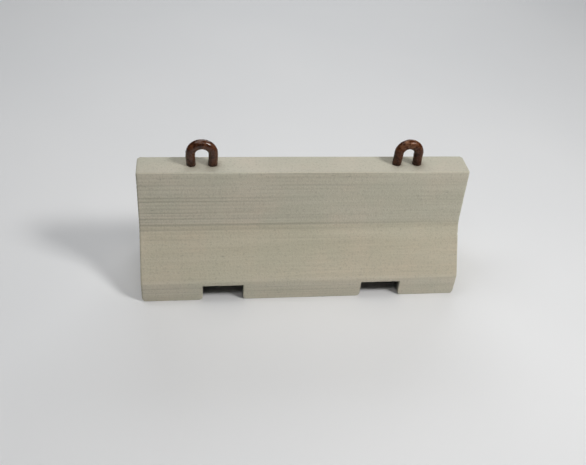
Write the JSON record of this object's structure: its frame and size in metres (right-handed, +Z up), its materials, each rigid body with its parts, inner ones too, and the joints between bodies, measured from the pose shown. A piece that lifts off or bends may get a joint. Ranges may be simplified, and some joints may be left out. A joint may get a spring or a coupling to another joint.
{
  "type": "concrete jersey barrier",
  "caption": "Precast concrete traffic barrier with a stepped sloping profile, two fork pockets through the foot, bent-rod lifting loops on top and a tied steel cage inside.",
  "frame": {"origin": "middle of the base, on the surface that the barrier stands on", "axes": "+X along the barrier to its right end, +Y towards its rear face, +Z up"},
  "size_m": [2, 0.61, 0.984],
  "materials": {
    "concrete": "cast concrete, matte, greenish beige grey, fine grain and faint board lines",
    "loop_steel": "brown rusted steel rod, half gloss, worn to copper brown at the crown",
    "bar_steel": "black bar steel with light rust",
    "tie_steel": "black annealed wire",
    "spacer_plastic": "matte grey plastic"
  },
  "bodies": {
    "root": {"concrete_body": "concrete", "lifting_loop_left": "loop_steel", "lifting_loop_right": "loop_steel", "top_bar_front": "bar_steel", "top_bar_rear": "bar_steel", "break_bar_front": "bar_steel", "break_bar_rear": "bar_steel", "slope_bar_front": "bar_steel", "slope_bar_rear": "bar_steel", "foot_bar_front": "bar_steel", "foot_bar_rear": "bar_steel", "leg_bar_left_front": "bar_steel", "leg_bar_left_rear": "bar_steel", "leg_bar_middle_front": "bar_steel", "leg_bar_middle_rear": "bar_steel", "leg_bar_right_front": "bar_steel", "leg_bar_right_rear": "bar_steel", "stirrup_01": "bar_steel", "stirrup_02": "bar_steel", "stirrup_03": "bar_steel", "stirrup_04": "bar_steel", "stirrup_05": "bar_steel", "stirrup_06": "bar_steel", "stirrup_07": "bar_steel", "stirrup_08": "bar_steel", "stirrup_09": "bar_steel", "stirrup_10": "bar_steel", "stirrup_11": "bar_steel", "stirrup_12": "bar_steel", "stirrup_13": "bar_steel", "stirrup_14": "bar_steel", "stirrup_15": "bar_steel", "tie_wires": "tie_steel", "cover_spacers": "spacer_plastic"}
  },
  "joints": []
}
